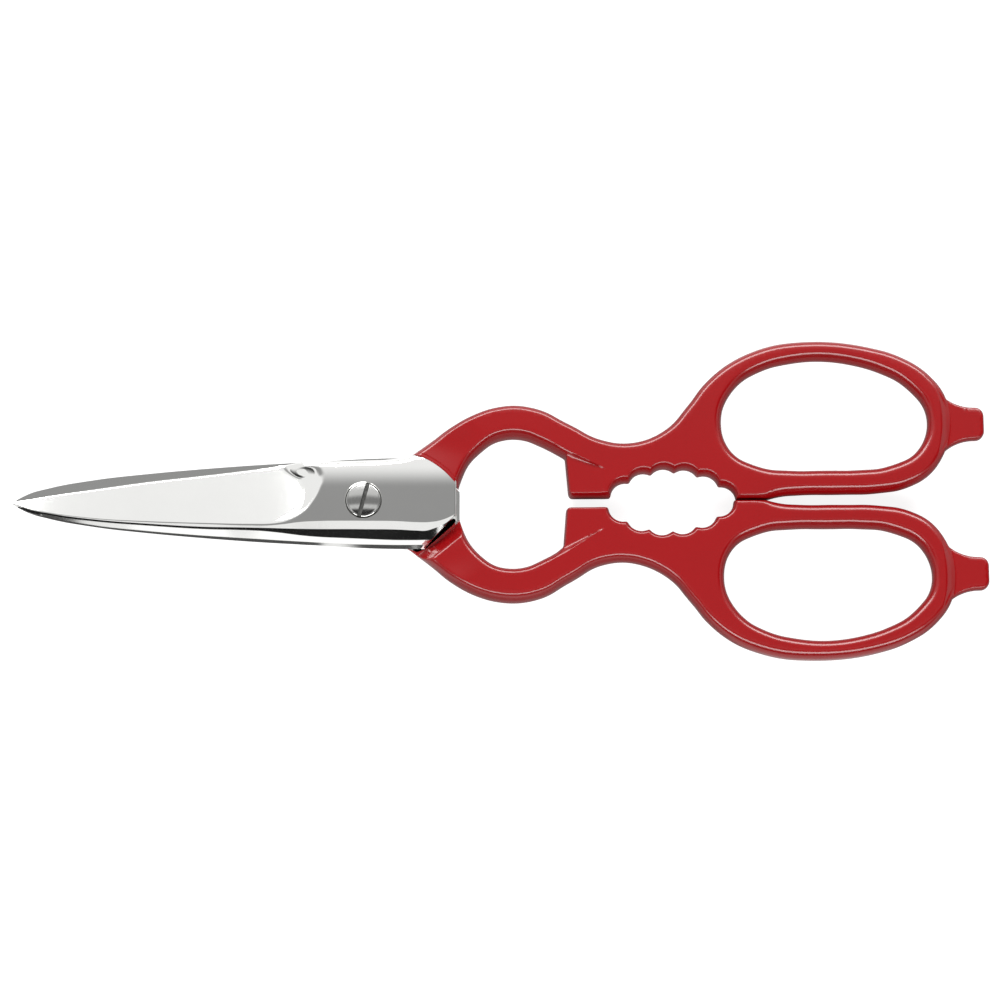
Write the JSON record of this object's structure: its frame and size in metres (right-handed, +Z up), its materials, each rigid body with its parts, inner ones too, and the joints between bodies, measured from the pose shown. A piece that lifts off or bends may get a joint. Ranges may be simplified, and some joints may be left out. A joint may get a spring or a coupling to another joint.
{
  "type": "kitchen shears",
  "caption": "Forged kitchen shears with red lacquered handles, a slotted pivot screw, a serrated gripping mouth and prising stubs behind the finger bows.",
  "frame": {"origin": "on the surface that the shears lie on, under the middle of the closed shears", "axes": "+X along the shears from the tips to the finger bows, +Y across them towards the front half's handle, +Z up out of the front half's face"},
  "size_m": [0.2, 0.0668, 0.0078],
  "materials": {
    "blade_steel": "polished",
    "red_lacquer": "gloss lacquer",
    "screw_steel": "polished"
  },
  "bodies": {
    "rear_body": {"rear_half": "blade_steel", "rear_handle_coat": "red_lacquer", "pivot_screw": "screw_steel"},
    "front_body": {"front_half": "blade_steel", "front_handle_coat": "red_lacquer"}
  },
  "joints": [
    {"name": "pivot", "type": "hinge", "parent": "rear_body", "child": "front_body", "pos_m": [-0.0278, -0.00075, 0.00375], "axis": [0, 0, 1], "range_deg": [0, 108]}
  ]
}
